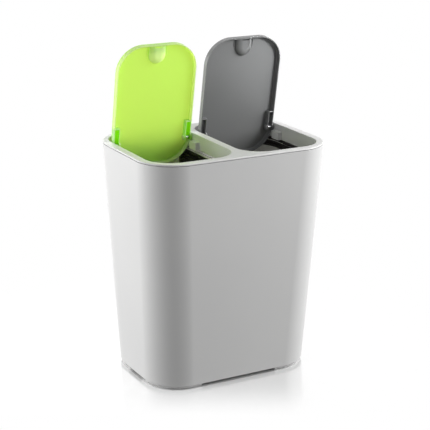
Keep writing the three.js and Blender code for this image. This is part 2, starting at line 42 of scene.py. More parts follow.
# ---- sizes in millimetres, the same as the CAD's
BODY_WIDTH, BODY_DEPTH, BODY_CORNER = 385, 274, 73             # outside, at the top
BASE_WIDTH, BASE_DEPTH, BASE_CORNER = 338, 230, 70             # outside, at the foot of the taper
OVERALL_HEIGHT = 445                                           # to the top of the frame, lids apart
BODY_WALL, FLOOR_THICKNESS, FLOOR_FILLET = 2.5, 2.5, 8
SEAT_GAP = 0.4                                                 # between pieces that rest on each other
FOOT_HEIGHT, FOOT_STEP, FOOT_CHAMFER, FOOT_BAND = 6.5, 1.2, 5, 16
FRONT_NOTCH, SIDE_NOTCH = 162, 56                              # gaps between the feet
CENTRE_RIB_LENGTH, CENTRE_RIB_HEIGHT, CENTRE_RIB_THICKNESS = 160, 22, 2
FLANGE_THICKNESS, FLANGE_EDGE = 3, 2
DIVIDER_WIDTH, SIDE_RIM, FRONT_RIM, REAR_RIM = 16, 15.5, 17, 12
MOUTH_CORNER, HOPPER_WALL, HOPPER_DEPTH = 50, 2.5, 29
LIP_INSET, LIP_WALL, LIP_DEPTH = 3.8, 2, 12                    # locating lip inside the body
WEB_THICKNESS, WEB_SPACING = 1.8, 62
OPEN_ANGLE = 80.4                                              # degrees, from closed to open
LID_SIDE_GAP, LID_END_GAP, LID_CORNER_EXTRA, LID_SINK = 2.8, 1.8, 2, 0.5
LID_DEPTH, LID_PANEL, LID_SKIRT, LID_EDGE = 12, 2, 2, 2
HINGE_FROM_REAR, HINGE_BELOW_LID = 50, 8
PIN_RADIUS, PIN_CLEARANCE, PIN_HEAD, PIN_END_GAP = 2.5, 0.3, 1.4, 0.5
KNUCKLE_RADIUS, KNUCKLE_GAP = 7.9, 1.2
EAR_SPACING, EAR_THICKNESS, EAR_RADIUS = 10.6, 1.8, 7
POCKET_LENGTH, RIB_THICKNESS = 34, 1.8
BEARING_RADIUS, BEARING_END = 7, 1
STOP_DEPTH, STOP_FRONT, STOP_REAR, STOP_GAP = 9, 36, 11, 0.5
SCOOP_WIDTH, SCOOP_LENGTH, SCOOP_DEPTH, SCOOP_WALL = 36, 39, 9, 1.6
SCOOP_ROUND, SCOOP_LIP, SCOOP_FRONT = 0.499, 15, 3.5
BUCKET_WALL, BUCKET_FILLET, BUCKET_MIDDLE_CORNER = 2, 6, 18
BUCKET_RIM, BUCKET_RIM_THICKNESS, BUCKET_RIM_DROP, BUCKET_RIM_WALL = 3, 2.2, 9, 1.5
BUCKET_GAPS, BUCKET_BASE_GAPS = (1.5, 2.2, 1.4), (8, 5, 6)     # to the middle plane, side and end wall
HANDLE_TOP_GAP = 2.2
HANDLE_WIDTH, HANDLE_HEIGHT, HANDLE_INSET = 4.5, 5.4, 2
HANDLE_GRIP, HANDLE_GRIP_EXTRA = 70, 3
HANDLE_STUB_RADIUS, HANDLE_STUB_CLEARANCE = 1.9, 0.3
LUG_WIDTH, LUG_THICKNESS, LUG_FOOT = 12, 3, 8

# ---- places that follow from them
BODY_TOP = OVERALL_HEIGHT - FLANGE_THICKNESS - SEAT_GAP
FLOOR_TOP = FOOT_HEIGHT + FLOOR_THICKNESS
HOPPER_BOTTOM = OVERALL_HEIGHT - HOPPER_DEPTH
MOUTH_WIDTH = (BODY_WIDTH - DIVIDER_WIDTH) / 2 - SIDE_RIM
MOUTH_DEPTH = BODY_DEPTH - FRONT_RIM - REAR_RIM
MOUTH_X = (DIVIDER_WIDTH + MOUTH_WIDTH) / 2
MOUTH_Y = (FRONT_RIM - REAR_RIM) / 2
LID_WIDTH, LID_LENGTH = MOUTH_WIDTH - 2 * LID_SIDE_GAP, MOUTH_DEPTH - 2 * LID_END_GAP
LID_CORNER = MOUTH_CORNER + LID_CORNER_EXTRA
HINGE_Y = MOUTH_Y + MOUTH_DEPTH / 2 - HINGE_FROM_REAR
HINGE_Z = OVERALL_HEIGHT - LID_SINK - HINGE_BELOW_LID
LID_REAR = HINGE_FROM_REAR - LID_END_GAP                       # these seven from the hinge axis's middle
LID_FRONT = LID_REAR - LID_LENGTH
PANEL_Z = HINGE_BELOW_LID - LID_PANEL                          # the panel's underside
SKIRT_Z = HINGE_BELOW_LID - LID_DEPTH
EAR_OUT = LID_WIDTH / 2 - EAR_SPACING
EAR_IN = EAR_OUT - EAR_THICKNESS
KNUCKLE_END = MOUTH_WIDTH / 2 - KNUCKLE_GAP
PIN_BORE = PIN_RADIUS + PIN_CLEARANCE
BUCKET_BOTTOM = FLOOR_TOP + SEAT_GAP
BUCKET_TOP = HOPPER_BOTTOM - HANDLE_TOP_GAP - HANDLE_HEIGHT - SEAT_GAP

# ---- finer detail with the scene's own values, also in millimetres
SEAM = 0.8                                     # shadow line between body and frame
FOOT_ROUND, FOOT_ROUND_FLAT = 2.2, 0.4         # lower edge of the feet, and how far it is flattened
STEP_EDGE, BODY_EDGE = 0.9, 0.6
NOTCH_ROUND, NOTCH_BELOW = 4, 6
WALL_STATIONS, HOLLOW_STATION = (60, 250), 200 # heights that keep the long faces even
MOUTH_EDGE = 1.4
LIP_EDGE = (0.6, 0.8)                          # inset and height of the lip's lead-in
HOPPER_EDGE = (0.5, 0.6)
SKIRT_EDGE = ((0.5, 0), (0.15, 0.15), (0, 0.5))
PANEL_FILLET = 1.5
SCOOP_FLAT = 14                                # how far the dome draws in
SCOOP_EDGE = 0.8
SLOT_WIDTH, SLOT_LENGTH = 15, 2.6              # slot in the scoop, under the lip
SCOOP_RIB_X, SCOOP_RIB_THICKNESS, SCOOP_RIB_LENGTH, SCOOP_RIB_DEPTH = 19.5, 1, 21, 1.4
CAP_RADIUS, CAP_WALL, CAP_GAP = 5.2, 1, 0.4    # blind cap over each pin's head
CAP_EDGE = ((0, 2.4), (0.25, 1.2), (0.9, 0.3), (1.8, 0))       # (distance from the end, loss of radius)
PIN_TIP_EDGE = ((0.6, 0), (0.15, 0.35), (0, 0.8))              # the same, at the pin's far end
PIN_HEAD_EDGE = ((0, 0.4), (0.05, 2.2), (0.25, 3.1), (0.6, 3.65), (1.0, 3.8), (PIN_HEAD, 3.8))
BUCKET_INNER_FILLET, BUCKET_RIM_EDGE = 4, 0.8
BUCKET_LEAD = (0.5, 0.6)                       # inset and height of the widening at the bucket's mouth
BUCKET_RIM_LOW_EDGE = (0.3, 0.4)
HANDLE_ROUND, HANDLE_EASE = 1, 0.3
CENTRE_RIB_ROUND, STOP_ROUND, EAR_ROUND, KNUCKLE_EASE = 0.8, 0.7, 0.7, 0.6
SCOOP_LIP_ROUND, SLOT_ROUND, SCOOP_RIB_ROUND = 0.6, 0.5, 0.3
LUG_ROUND, GRIP_ROUND = 0.6, 1.4
CAP_SINK, CAP_ROOM_END, BORE_START = 0.5, 0.05, 0.3    # all three from the ear's inner face
# BAND_ values: a dark ribbed sheet of painted shade inside each bucket's mouth
BAND_TOP, BAND_PITCH, BAND_RIB = BUCKET_TOP - 1.5, 5.5, 2.2
BAND_BACK, BAND_BASE = 0.25, 0.7               # back and face, in from the bucket's wall
BAND_RIB_EDGES = (0.9, 2.1, 3.0)               # down a rib: full height from, full height to, foot
# how low the painted shade reaches: beside the divider, at the outer wall and at the end walls
BAND_LOW_MIDDLE, BAND_LOW_OUTER, BAND_LOW_ENDS = 362, 395, 387
BAND_OUTER_REACH, BAND_ROUND, BAND_PAST = 40, 3, 9
BAND_FIRST_RIB = 1.2                           # below the band's top

# ---- floor, in millimetres
FLOOR_REACH, FLOOR_DROP = 6000, 0.5
CONTACT_SHADE = (-1.5, -0.5)                   # the floor is matt up to here, just inside the base
FLOOR_SHADOW, FLOOR_SHADOW_REACH = 0.15, 30    # share of matt floor at the base, and how far it fades
FLOOR_GLOSS, FLOOR_ROUGHNESS = 0.6, 0.18       # mirror-like share at the base
GLOSS_NEAR, GLOSS_FAR = 100, 270               # it fades between these along this direction,
GLOSS_DIRECTION = (-0.485, -0.875, 0)          # towards the front left corner
GLOSS_RING = (220, 450)                        # and between these all round

# ---- plastics and steel
FLOW_NOISE, FLOW_RANGE = (6, 3, 0.45), (0.35, 0.65)    # scale, detail, roughness; where the colours run
WEAR_NOISE = (38, 4)                           # scale, detail
GRAIN_STRENGTH, PLASTIC_IOR, SOAK_DENSITY = 0.25, 1.49, 1000
PIN_STRETCH = (9000, 300, 300)                 # squeezes the noise into rings round the pin's axis
PIN_DARK, PIN_LIGHT, PIN_ROUGHNESS = (0.46, 0.46, 0.47), (0.72, 0.72, 0.73), (0.18, 0.4)
FLOOR_WHITE = (0.93, 0.93, 0.93, 1)

# ---- light and camera
SOFTBOX, SOFTBOX_AWAY, AIM_HEIGHT = (1.3, 1.0), 1.8, 0.3                 # metres
FILL_LEVEL, THROUGH_LEVEL = 0.215, 0.75        # the world as a lamp, and seen through the green lid
AZIMUTH, ELEVATION, ROLL = -29.007, 17.143, 0.5305                       # degrees, fitted to the photo
CAMERA_BACK, CAMERA_RIGHT, CAMERA_UP = 7.0351, 0.0131, 0.7357            # in body widths
FOCAL_PIXELS, PHOTO_PIXELS, SENSOR = 1363.6, 430, 36
CLIP_START, CLIP_END = 0.05, 50

# ---- fineness
CORNER_STEPS, TURN_STEPS, SCOOP_STEPS, LOBE_STEPS, HANDLE_STEPS = 28, 40, 14, 28, 4
LARGE_EDGE_STEPS, SMALL_EDGE_STEPS, BUCKET_FOOT_STEPS, NOTCH_STEPS = 8, 6, 7, 5
SHARP_ANGLE, BEVEL_ANGLE = 32, 35
NORMAL_WEIGHT = 80
OVERLAP = 1                                    # how far a joined or cutting shape runs past a face
MM = 0.001
SIDES = (-1, 1)
QUARTER_TURN, HALF_TURN = Matrix.Rotation(math.pi / 2, 4, "Z"), Matrix.Rotation(math.pi, 4, "Z")


# ---- mesh building
def make(name, verts, faces):
    """New object from points in millimetres."""
    mesh = bpy.data.meshes.new(name)
    mesh.from_pydata([Vector(v) * MM for v in verts], [], faces)
    mesh.validate()
    obj = bpy.data.objects.new(name, mesh)
    scene.collection.objects.link(obj)
    return obj


def ring(width, depth, radius, z, centre=(0, 0), low_radius=None):
    """Rounded rectangle, anticlockwise; the two corners towards -X may have their own radius."""
    points = []
    for quarter, (sx, sy) in enumerate(((1, 1), (-1, 1), (-1, -1), (1, -1))):
        r = radius if sx > 0 or low_radius is None else low_radius
        for step in range(CORNER_STEPS + 1):
            a = math.pi / 2 * (quarter + step / CORNER_STEPS)
            points.append((centre[0] + sx * (width / 2 - r) + r * math.cos(a),
                           centre[1] + sy * (depth / 2 - r) + r * math.sin(a), z))
    return points


def skin(levels, count, closed=False):
    """Faces between neighbouring levels of count points; closed joins the last level to the first."""
    faces = []
    for level in range(levels if closed else levels - 1):
        low, high = level * count, (level + 1) % levels * count
        for i in range(count):
            j = (i + 1) % count
            faces.append((low + i, low + j, high + j, high + i))
    return faces


def ends(levels, count):
    """The faces that close the first and the last level."""
    last = (levels - 1) * count
    return [tuple(reversed(range(count))), tuple(range(last, last + count))]


def loft(name, rings):
    """Closed skin through rings given lowest first."""
    levels, count = len(rings), len(rings[0])
    return make(name, [p for r in rings for p in r], skin(levels, count) + ends(levels, count))


def tube(name, rings):
    """Closed skin whose last ring joins its first, as a band with a hole through it."""
    return make(name, [p for r in rings for p in r], skin(len(rings), len(rings[0]), closed=True))


def turned(name, profile):
    """Solid of revolution about X from (x, radius) pairs, closed at both ends."""
    verts = []
    for x, r in profile:
        for i in range(TURN_STEPS):
            a = 2 * math.pi * i / TURN_STEPS
            verts.append((x, r * math.cos(a), r * math.sin(a)))
    return make(name, verts, skin(len(profile), TURN_STEPS) + ends(len(profile), TURN_STEPS))


def rounded(radius, end, up, steps=5):
    """(inset, z) along a quarter-round edge that ends at height end, running upwards."""
    out = []
    for step in range(steps + 1):
        a = math.pi / 2 * step / steps
        out.append((radius * (1 - math.cos(a)), end + (-1 if up else 1) * radius * (1 - math.sin(a))))
    return out if up else out[::-1]


def block(name, low, high, bevel=0.0, segments=3):
    """Box from its lowest to its highest corner, with rounded edges if it has a bevel."""
    x0, y0, z0 = low
    x1, y1, z1 = high
    verts = [(x, y, z) for z in (z0, z1) for y in (y0, y1) for x in (x0, x1)]
    faces = [(0, 2, 3, 1), (4, 5, 7, 6), (0, 1, 5, 4), (2, 6, 7, 3), (0, 4, 6, 2), (1, 3, 7, 5)]
    obj = make(name, verts, faces)
    return bevelled(obj, bevel, segments) if bevel else obj


def bar_x(name, radius, x0, x1, y=0, z=0, ease=0.0):
    """Round bar along X, its ends eased by a small chamfer."""
    profile = [(x0, radius), (x1, radius)]
    if ease:
        profile = [(x0, radius - ease), (x0 + ease, radius), (x1 - ease, radius), (x1, radius - ease)]
    return placed(turned(name, profile), (0, y, z))


def plate_x(name, outline, x0, x1, ease):
    """Plate along X with an outline in the YZ plane."""
    count = len(outline)
    verts = [(x, y, z) for x in (x0, x1) for y, z in outline]
    faces = [tuple(reversed(range(count))), tuple(range(count, 2 * count))]
    faces += [(i, (i + 1) % count, (i + 1) % count + count, i + count) for i in range(count)]
    obj = make(name, verts, faces)
    return bevelled(obj, ease, 2) if ease else obj


def lobe(radius, top):
    """Hanging lobe about the origin: straight neck up to top, round below."""
    out = [(radius, top), (-radius, top)]
    for step in range(LOBE_STEPS + 1):
        a = math.pi + math.pi * step / LOBE_STEPS
        out.append((radius * math.cos(a), radius * math.sin(a)))
    return out


def placed(obj, offset=(0, 0, 0), turn=None):
    """Turns and then moves an object's mesh."""
    if turn is not None:
        obj.data.transform(turn)
    obj.data.transform(Matrix.Translation(Vector(offset) * MM))
    return obj


def bevelled(obj, width, segments):
    """Rounds the sharp edges."""
    mod = obj.modifiers.new("round", "BEVEL")
    mod.width, mod.segments = width * MM, segments
    mod.limit_method, mod.angle_limit = "ANGLE", math.radians(BEVEL_ANGLE)
    return settled(obj)


def settled(obj):
    """Applies the modifiers."""
    graph = bpy.context.evaluated_depsgraph_get()
    mesh = bpy.data.meshes.new_from_object(obj.evaluated_get(graph))
    obj.modifiers.clear()
    old, obj.data = obj.data, mesh
    bpy.data.meshes.remove(old)
    return obj


def combine(base, how, *parts):
    """Boolean of the base with each part in turn; the parts are used up."""
    for part in parts:
        mod = base.modifiers.new("join", "BOOLEAN")
        mod.solver, mod.operation, mod.object = "MANIFOLD", how, part
    settled(base)
    for part in parts:
        bpy.data.objects.remove(part)
    return base


def add(base, *parts):
    return combine(base, "UNION", *parts)


def cut(base, *parts):
    return combine(base, "DIFFERENCE", *parts)


def keep(base, *parts):
    return combine(base, "INTERSECT", *parts)


def copied(obj, name):
    """Another object with its own copy of the mesh."""
    copy = bpy.data.objects.new(name, obj.data.copy())
    scene.collection.objects.link(copy)
    return copy


def mirrored(obj, name):
    """Copy of a piece, mirrored in the middle plane."""
    copy = copied(obj, name)
    copy.data.transform(Matrix.Scale(-1, 4, (1, 0, 0)))
    copy.data.flip_normals()
    copy.data.name = name
    return copy


def finished(obj, material, body, node):
    """Smooth shading with crisp edges, material, body and the CAD node it stands for."""
    obj.data.materials.clear()
    obj.data.materials.append(material)
    for poly in obj.data.polygons:
        poly.use_smooth = True
    obj.data.set_sharp_from_angle(angle=math.radians(SHARP_ANGLE))
    mod = obj.modifiers.new("even", "WEIGHTED_NORMAL")
    mod.keep_sharp = True
    mod.weight = NORMAL_WEIGHT
    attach(obj, body)
    if node:
        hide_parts(node)
    return obj


# ---- shader nodes
def feed(tree, value, socket):
    """Links a socket, or sets it to a value."""
    if isinstance(value, bpy.types.NodeSocket):
        tree.links.new(value, socket)
    else:
        socket.default_value = value


def math_node(tree, operation, *values):
    node = tree.nodes.new("ShaderNodeMath")
    node.operation = operation
    for socket, value in zip(node.inputs, values):
        feed(tree, value, socket)
    return node.outputs["Value"]


def vector_node(tree, operation, *values):
    """Vector maths; lengths and dot products come out as a number."""
    node = tree.nodes.new("ShaderNodeVectorMath")
    node.operation = operation
    for socket, value in zip(node.inputs, values):
        feed(tree, value, socket)
    return node.outputs["Value" if operation in ("LENGTH", "DOT_PRODUCT") else "Vector"]


def mapped(tree, value, low, high):
    """0 to 1 becomes low to high."""
    node = tree.nodes.new("ShaderNodeMapRange")
    node.inputs["To Min"].default_value = low
    node.inputs["To Max"].default_value = high
    tree.links.new(value, node.inputs["Value"])
    return node.outputs["Result"]


def noise(tree, place, scale, detail=2, roughness=0.5):
    node = tree.nodes.new("ShaderNodeTexNoise")
    node.inputs["Scale"].default_value = scale
    node.inputs["Detail"].default_value = detail
    node.inputs["Roughness"].default_value = roughness
    tree.links.new(place, node.inputs["Vector"])
    return node.outputs["Fac"]


def ramp(tree, factor, low, high, start=0, end=1):
    """Colour that runs from low at start to high at end."""
    node = tree.nodes.new("ShaderNodeValToRGB")
    stops = node.color_ramp.elements
    stops[0].position, stops[1].position = start, end
    stops[0].color, stops[1].color = (*low, 1), (*high, 1)
    tree.links.new(factor, node.inputs["Fac"])
    return node.outputs["Color"]


def mixed(tree, share, first, second):
    """Mix of two shaders, by the second's share."""
    node = tree.nodes.new("ShaderNodeMixShader")
    feed(tree, share, node.inputs["Fac"])
    tree.links.new(first, node.inputs[1])
    tree.links.new(second, node.inputs[2])
    return node.outputs["Shader"]


# ---- materials
def new_material(name):
    """Material, its tree and its shader."""
    mat = bpy.data.materials.new(name)
    mat.use_nodes = True
    return mat, mat.node_tree, mat.node_tree.nodes["Principled BSDF"]


def painted_light_zones(tree, place):
    """Masks for painted light on the left lid: its skirt, painted paler as a highlight, and its two rib
    pockets, painted darker as shade, worked out in the closed lid's own axes.
    """
    margin, pocket_rear, skirt_drop, past_edge = 0.2, 4, 2, 1
    closed = tree.nodes.new("ShaderNodeMapping")
    closed.vector_type = "TEXTURE"
    closed.inputs["Location"].default_value = (-MOUTH_X * MM, HINGE_Y * MM, HINGE_Z * MM)
    closed.inputs["Rotation"].default_value = (math.radians(-OPEN_ANGLE), 0, 0)
    tree.links.new(place, closed.inputs["Vector"])
    axes = tree.nodes.new("ShaderNodeSeparateXYZ")
    tree.links.new(closed.outputs["Vector"], axes.inputs["Vector"])

    def between(value, low, high):
        return math_node(tree, "COMPARE", value, (low + high) / 2 * MM, (high - low) / 2 * MM)

    # the rib pockets, where shade is painted
    across = between(math_node(tree, "ABSOLUTE", axes.outputs["X"]),
                     EAR_OUT - margin, LID_WIDTH / 2 - LID_SKIRT + margin)
    along = between(axes.outputs["Y"], -POCKET_LENGTH + RIB_THICKNESS - margin, pocket_rear)
    below = between(axes.outputs["Z"], SKIRT_Z - past_edge, PANEL_Z + margin)
    # the skirt's lower part, where a highlight is painted
    skirt = between(axes.outputs["Z"], SKIRT_Z - past_edge, PANEL_Z - skirt_drop)
    return skirt, math_node(tree, "MULTIPLY", math_node(tree, "MULTIPLY", across, along), below)


def tinted(tree, colour, painted_light_tints):
    """The colour, replaced by each tint in turn where the tint's mask is 1."""
    base, tint_in, result = 6, 7, 2        # the colour sockets of a Mix node
    for mask, tint in painted_light_tints:
        mix = tree.nodes.new("ShaderNodeMix")
        mix.data_type = "RGBA"
        tree.links.new(mask, mix.inputs["Factor"])
        feed(tree, colour, mix.inputs[base])
        mix.inputs[tint_in].default_value = (*tint, 1)
        colour = mix.outputs[result]
    return colour


def plastic(name, colour, second, roughness, uneven, grain, grain_depth):
    """Moulded plastic: faint flow marks in the colour, uneven gloss and a fine mould grain."""
    mat, tree, shader = new_material(name)
    place = tree.nodes.new("ShaderNodeTexCoord").outputs["Object"]
    flow = noise(tree, place, *FLOW_NOISE)
    tree.links.new(ramp(tree, flow, second, colour, *FLOW_RANGE), shader.inputs["Base Color"])
    wear = noise(tree, place, *WEAR_NOISE)
    tree.links.new(mapped(tree, wear, roughness - uneven, roughness + uneven), shader.inputs["Roughness"])
    bump = tree.nodes.new("ShaderNodeBump")
    bump.inputs["Strength"].default_value = GRAIN_STRENGTH
    bump.inputs["Distance"].default_value = grain_depth
    tree.links.new(noise(tree, place, grain), bump.inputs["Height"])
    tree.links.new(bump.outputs["Normal"], shader.inputs["Normal"])
    shader.inputs["IOR"].default_value = PLASTIC_IOR
    return mat


def cloudy(mat, clear, milky, glow, depth_tint, skirt_painted_highlight, pocket_painted_shade):
    """Lets light through a plastic, with a painted highlight (a paler colour) on the left lid's skirt and
    painted shade (a darker colour) in its rib pockets.
    """
    tree = mat.node_tree
    shader, output = tree.nodes["Principled BSDF"], tree.nodes["Material Output"]
    shader.inputs["Transmission Weight"].default_value = clear
    place = tree.nodes["Texture Coordinate"].outputs["Object"]
    skirt, pocket = painted_light_zones(tree, place)
    # painted highlight on the skirt and painted shade in the rib pockets, in both the surface and the
    # translucent colour
    painted_light_tints = (skirt, skirt_painted_highlight), (pocket, pocket_painted_shade)
    surface = shader.inputs["Base Color"].links[0].from_socket
    tree.links.new(tinted(tree, surface, painted_light_tints), shader.inputs["Base Color"])
    haze = tree.nodes.new("ShaderNodeBsdfTranslucent")
    tree.links.new(tinted(tree, (*glow, 1), painted_light_tints), haze.inputs["Color"])
    tree.links.new(mixed(tree, milky, shader.outputs["BSDF"], haze.outputs["BSDF"]), output.inputs["Surface"])
    soak = tree.nodes.new("ShaderNodeVolumeAbsorption")
    soak.inputs["Color"].default_value = (*depth_tint, 1)
    soak.inputs["Density"].default_value = SOAK_DENSITY
    tree.links.new(soak.outputs["Volume"], output.inputs["Volume"])
    return mat


def steel(name):
    """Drawn steel pin: fine rings round its axis."""
    mat, tree, shader = new_material(name)
    shader.inputs["Metallic"].default_value = 1.0
    stretch = tree.nodes.new("ShaderNodeMapping")
    stretch.inputs["Scale"].default_value = PIN_STRETCH
    tree.links.new(tree.nodes.new("ShaderNodeTexCoord").outputs["Object"], stretch.inputs["Vector"])
    rings = noise(tree, stretch.outputs["Vector"], 1)
    tree.links.new(ramp(tree, rings, PIN_DARK, PIN_LIGHT), shader.inputs["Base Color"])
    tree.links.new(mapped(tree, rings, *PIN_ROUGHNESS), shader.inputs["Roughness"])
    return mat


PALE = plastic("pale_grey_plastic", (0.735, 0.735, 0.73), (0.715, 0.715, 0.712), 0.42, 0.05, 900, 0.00012)
RIM = plastic("frame_plastic", (0.755, 0.755, 0.75), (0.735, 0.735, 0.73), 0.36, 0.05, 1100, 0.00008)
# green lid: the skirt tint is a painted highlight and the pocket tint is painted shade
GREEN = cloudy(plastic("green_plastic", (0.45, 0.95, 0.18), (0.443, 0.938, 0.177), 0.5, 0.04, 1200, 0.00006),
               clear=0.3, milky=0.5, glow=(1.0, 0.985, 0.9), depth_tint=(0.93, 0.955, 0.41),
               skirt_painted_highlight=(0.9, 1.0, 0.82), pocket_painted_shade=(0.32, 0.86, 0.03))
GREY = plastic("grey_plastic", (0.178, 0.181, 0.182), (0.167, 0.171, 0.172), 0.34, 0.04, 1200, 0.00006)
BUCKET = plastic("bucket_plastic", (0.70, 0.69, 0.655), (0.68, 0.67, 0.635), 0.45, 0.06, 900, 0.0001)
BLACK = plastic("handle_plastic", (0.017, 0.015, 0.013), (0.012, 0.011, 0.010), 0.38, 0.08, 900, 0.0001)
STEEL = steel("pin_steel")


# ---- outer body
def body_at(z):
    """Outside width, depth and corner radius of the tapered body at a height."""
    t = z / BODY_TOP
    return (BASE_WIDTH + (BODY_WIDTH - BASE_WIDTH) * t, BASE_DEPTH + (BODY_DEPTH - BASE_DEPTH) * t,
            BASE_CORNER + (BODY_CORNER - BASE_CORNER) * t)


def body_ring(inset, z, at=None):
    """Ring at height z, in from the body's outside at height at, or at z."""
    w, d, r = body_at(z if at is None else at)
    return ring(w - 2 * inset, d - 2 * inset, r - inset, z)


def make_body():
    crease = 0.2
    rings = [body_ring(FOOT_STEP + FOOT_CHAMFER, 0)]
    for inset, z in rounded(FOOT_ROUND, 0, False)[1:]:
        chamfer = FOOT_CHAMFER * (1 - z / FOOT_HEIGHT)
        rings.append(body_ring(FOOT_STEP + chamfer + inset * FOOT_ROUND_FLAT, z))
    rings += [body_ring(FOOT_STEP, FOOT_HEIGHT - crease), body_ring(FOOT_STEP, FOOT_HEIGHT)]
    rings += [body_ring(inset, z) for inset, z in rounded(STEP_EDGE, FOOT_HEIGHT, False)]
    rings += [body_ring(0, z) for z in WALL_STATIONS]
    rings += [body_ring(inset, z) for inset, z in rounded(BODY_EDGE, BODY_TOP - SEAM, True)]
    shell = loft("outer_body", rings)
    hollow = [body_ring(BODY_WALL + inset, z)
              for inset, z in rounded(FLOOR_FILLET, FLOOR_TOP, False, LARGE_EDGE_STEPS)]
    hollow += [body_ring(BODY_WALL, HOLLOW_STATION), body_ring(BODY_WALL, BODY_TOP + OVERLAP)]
    half_front, half_side = FRONT_NOTCH / 2, SIDE_NOTCH / 2
    under = loft("under", [body_ring(FOOT_BAND, -OVERLAP, 0), body_ring(FOOT_BAND, FOOT_HEIGHT)])
    front = block("notch", (-half_front, -BODY_DEPTH, -NOTCH_BELOW), (half_front, BODY_DEPTH, FOOT_HEIGHT),
                  NOTCH_ROUND, NOTCH_STEPS)
    side = block("notch", (-BODY_WIDTH, -half_side, -NOTCH_BELOW), (BODY_WIDTH, half_side, FOOT_HEIGHT),
                 NOTCH_ROUND, NOTCH_STEPS)
    cut(shell, loft("hollow", hollow), under, front, side)
    half_rib, half_length = CENTRE_RIB_THICKNESS / 2, CENTRE_RIB_LENGTH / 2
    return add(shell, block("rib", (-half_rib, -half_length, FLOOR_TOP - OVERLAP),
                            (half_rib, half_length, FLOOR_TOP + CENTRE_RIB_HEIGHT), CENTRE_RIB_ROUND))


finished(make_body(), PALE, "body", "body_shell")


# ---- top frame
def lip_ring(inset, z):
    """Ring in from the body's outside at the top."""
    return ring(BODY_WIDTH - 2 * inset, BODY_DEPTH - 2 * inset, BODY_CORNER - inset, z)


def mouth_ring(side, outset, z):
    """Ring out from one mouth's edge."""
    return ring(MOUTH_WIDTH + 2 * outset, MOUTH_DEPTH + 2 * outset, MOUTH_CORNER + outset, z,
                (side * MOUTH_X, MOUTH_Y))


def stop_blocks():
    """Four blocks on the hopper walls, which carry the closed lids."""
    blocks = []
    for side in SIDES:
        for wall in SIDES:
            outer = side * MOUTH_X + wall * (MOUTH_WIDTH / 2 + OVERLAP)
            room = side * MOUTH_X + wall * (MOUTH_WIDTH / 2 - STOP_DEPTH)
            blocks.append(block("stop", (min(outer, room), HINGE_Y - STOP_FRONT, HOPPER_BOTTOM),
                                (max(outer, room), HINGE_Y - STOP_REAR, HINGE_Z + SKIRT_Z - STOP_GAP),
                                STOP_ROUND))
    return blocks


def make_frame():
    low, low_edge = OVERALL_HEIGHT - FLANGE_THICKNESS, 0.4
    rings = [lip_ring(low_edge, low), lip_ring(0, low + low_edge)]
    rings += [lip_ring(inset, z)
              for inset, z in rounded(FLANGE_EDGE, OVERALL_HEIGHT, True, LARGE_EDGE_STEPS)]
    top = loft("top_rim", rings)
    lip_low = low - LIP_DEPTH
    lip = loft("lip", [lip_ring(LIP_INSET + LIP_EDGE[0], lip_low), lip_ring(LIP_INSET, lip_low + LIP_EDGE[1]),
                       lip_ring(LIP_INSET, low + OVERLAP)])
    inner = LIP_INSET + LIP_WALL
    cut(lip, loft("room", [lip_ring(inner, lip_low - OVERLAP), lip_ring(inner, low)]))
    parts = [lip]
    lip_y = BODY_DEPTH / 2 - LIP_INSET - LIP_WALL / 2
    for side in SIDES:
        parts.append(loft("wall", [mouth_ring(side, HOPPER_WALL - HOPPER_EDGE[0], HOPPER_BOTTOM),
                                   mouth_ring(side, HOPPER_WALL, HOPPER_BOTTOM + HOPPER_EDGE[1]),
                                   mouth_ring(side, HOPPER_WALL, low + OVERLAP)]))
        for web in SIDES:
            x = side * MOUTH_X + web * WEB_SPACING / 2
            half = WEB_THICKNESS / 2
            parts.append(block("web", (x - half, -lip_y, lip_low), (x + half, lip_y, low + OVERLAP)))
    add(top, *parts)
    for side in SIDES:
        edge = [mouth_ring(side, outset, z)
                for outset, z in rounded(MOUTH_EDGE, OVERALL_HEIGHT, True, SMALL_EDGE_STEPS)]
        cut(top, loft("mouth", [mouth_ring(side, 0, HOPPER_BOTTOM - OVERLAP), *edge,
                                mouth_ring(side, MOUTH_EDGE, OVERALL_HEIGHT + OVERLAP)]))
    reach = MOUTH_X + MOUTH_WIDTH / 2
    pin_end = reach + DIVIDER_WIDTH / 2 - PIN_END_GAP
    end, middle = pin_end + BEARING_END, DIVIDER_WIDTH / 2 - OVERLAP
    neck = lobe(BEARING_RADIUS, low + OVERLAP - HINGE_Z)
    bearings = [placed(plate_x("bearing", neck, x0, x1, 0), (0, HINGE_Y, HINGE_Z)) for x0, x1 in
                ((-middle, middle), (reach + OVERLAP, end), (-end, -reach - OVERLAP))]
    add(top, *stop_blocks(), *bearings)
    bore = pin_end + PIN_CLEARANCE
    return cut(top, *(bar_x("bore", PIN_BORE, x0, x1, HINGE_Y, HINGE_Z) for x0, x1 in
                      ((-DIVIDER_WIDTH, DIVIDER_WIDTH), (MOUTH_X, bore), (-bore, -MOUTH_X))))


finished(make_frame(), RIM, "frame", "top_frame")


# ---- lids, drawn closed about the middle of their hinge axis
def lid_ring(inset, z):
    """Ring in from the lid's outside."""
    return ring(LID_WIDTH - 2 * inset, LID_LENGTH - 2 * inset, LID_CORNER - inset, z,
                (0, (LID_REAR + LID_FRONT) / 2))


def scoop_ring(inset, z):
    """Ring in from the scoop's outside; its front lies beyond the lid's edge."""
    rear, front = LID_FRONT + SCOOP_LENGTH - inset, LID_FRONT - SCOOP_WIDTH
    width = SCOOP_WIDTH - 2 * inset
    return ring(width, rear - front, width * SCOOP_ROUND, z, (0, (rear + front) / 2))


def dome(name, shrink, z_top, z_bottom):
    """Like the bowl of a spoon: steep at the rim, nearly flat at its deepest."""
    rings = []
    for step in range(SCOOP_STEPS + 1):
        a = math.pi / 2 * (step / SCOOP_STEPS)
        rings.append(scoop_ring(SCOOP_FLAT * (1 - math.sin(a)) + shrink,
                                z_top + (z_bottom - z_top) * math.cos(a)))
    return loft(name, rings)


